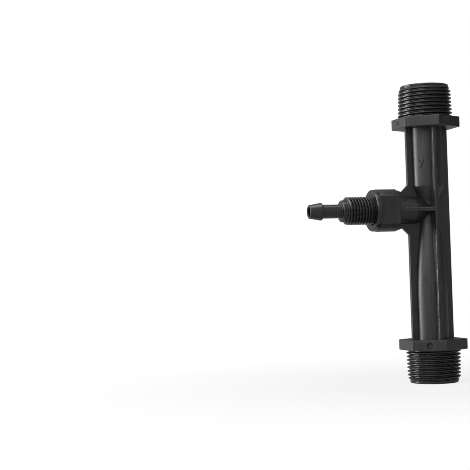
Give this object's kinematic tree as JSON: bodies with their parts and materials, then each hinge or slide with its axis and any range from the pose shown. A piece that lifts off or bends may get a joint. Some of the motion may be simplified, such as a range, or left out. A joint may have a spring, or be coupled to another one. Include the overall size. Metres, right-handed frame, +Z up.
{
  "type": "venturi fertilizer injector",
  "caption": "Moulded venturi tee with threaded pipe ends, hexagonal flanges, long ribs, and a barbed suction nipple that draws liquid feed into the water at the throat.",
  "frame": {"origin": "centre of the outlet end, on the face that the part stands on", "axes": "+Z up the flow axis from outlet to inlet, -X out along the suction branch"},
  "size_m": [0.0774, 0.034, 0.148],
  "materials": {
    "body_plastic": "satin moulded black polypropylene",
    "nipple_plastic": "satin moulded black polypropylene"
  },
  "bodies": {
    "root": {"venturi_body": "body_plastic", "hose_nipple": "nipple_plastic"}
  },
  "joints": []
}
